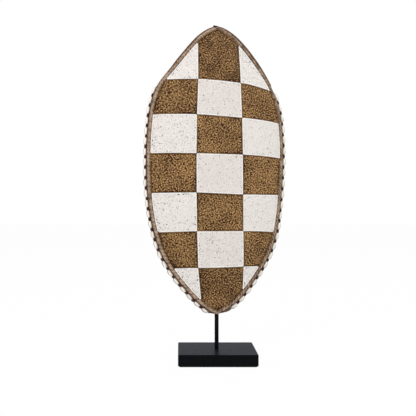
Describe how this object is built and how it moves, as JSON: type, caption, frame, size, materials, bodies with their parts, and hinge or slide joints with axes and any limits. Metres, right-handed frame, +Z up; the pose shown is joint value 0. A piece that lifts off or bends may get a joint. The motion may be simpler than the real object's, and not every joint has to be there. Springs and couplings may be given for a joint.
{
  "type": "beaded shield on stand",
  "caption": "Leaf-shaped wooden shield with a checker of seed beads, a corded rim and cowrie edging; it turns on a rod stand and lifts off it.",
  "frame": {"origin": "middle of the stand's underside, on the axis of the rod", "axes": "+Z up along the rod, -Y the front of the stand, +X to the right as seen from the front; the shield stands turned 12 degrees about +Z, as pictured"},
  "size_m": [0.3379, 0.1021, 0.7764],
  "materials": {
    "painted_wood": "satin black lacquer on a hardwood block",
    "bare_steel": "plain mild steel",
    "felt": "dark grey wool felt",
    "black_rod": "satin black paint on steel",
    "nylon": "natural nylon",
    "carved_wood": "hand-carved, oiled and worn",
    "cover_cloth": "coarse dark brown cotton cloth",
    "rim_cord": "twisted taupe plant-fibre cord",
    "cowrie_shell": "polished cowrie shells sewn to a cloth tape",
    "white_beads": "opaque off-white glass seed beads",
    "brown_beads": "opaque caramel brown glass seed beads"
  },
  "bodies": {
    "stand": {"base_block": "painted_wood", "ballast_plate": "bare_steel", "felt_pad": "felt", "stand_rod": "black_rod", "rod_nut": "bare_steel", "rod_washer": "bare_steel", "ballast_screw_1": "bare_steel", "ballast_screw_2": "bare_steel", "ballast_screw_3": "bare_steel", "ballast_screw_4": "bare_steel"},
    "bearing": {"bearing_disc": "nylon"},
    "shield": {"socket_sleeve": "bare_steel", "shield_body": "carved_wood", "cloth_cover": "cover_cloth", "rim_cord_inner": "rim_cord", "rim_cord_outer": "rim_cord", "cowrie_tape_left": "cowrie_shell", "cowrie_tape_right": "cowrie_shell", "bead_panel_left_1": "white_beads", "bead_panel_left_2": "brown_beads", "bead_panel_left_3": "white_beads", "bead_panel_left_4": "brown_beads", "bead_panel_left_5": "white_beads", "bead_panel_left_6": "brown_beads", "bead_panel_left_7": "white_beads", "bead_panel_middle_1": "brown_beads", "bead_panel_middle_2": "white_beads", "bead_panel_middle_3": "brown_beads", "bead_panel_middle_4": "white_beads", "bead_panel_middle_5": "brown_beads", "bead_panel_middle_6": "white_beads", "bead_panel_middle_7": "brown_beads", "bead_panel_right_1": "white_beads", "bead_panel_right_2": "brown_beads", "bead_panel_right_3": "white_beads", "bead_panel_right_4": "brown_beads", "bead_panel_right_5": "white_beads", "bead_panel_right_6": "brown_beads", "bead_panel_right_7": "white_beads", "hand_grip": "carved_wood", "grip_dowel_1": "carved_wood", "grip_dowel_2": "carved_wood"}
  },
  "joints": [
    {"name": "shield_swivel", "type": "hinge", "parent": "stand", "child": "bearing", "pos_m": [0, 0, 0.216], "axis": [0, 0, 1], "continuous": true},
    {"name": "shield_lift", "type": "slide", "parent": "bearing", "child": "shield", "axis": [0, 0, 1], "range_m": [0, 0.13]}
  ]
}
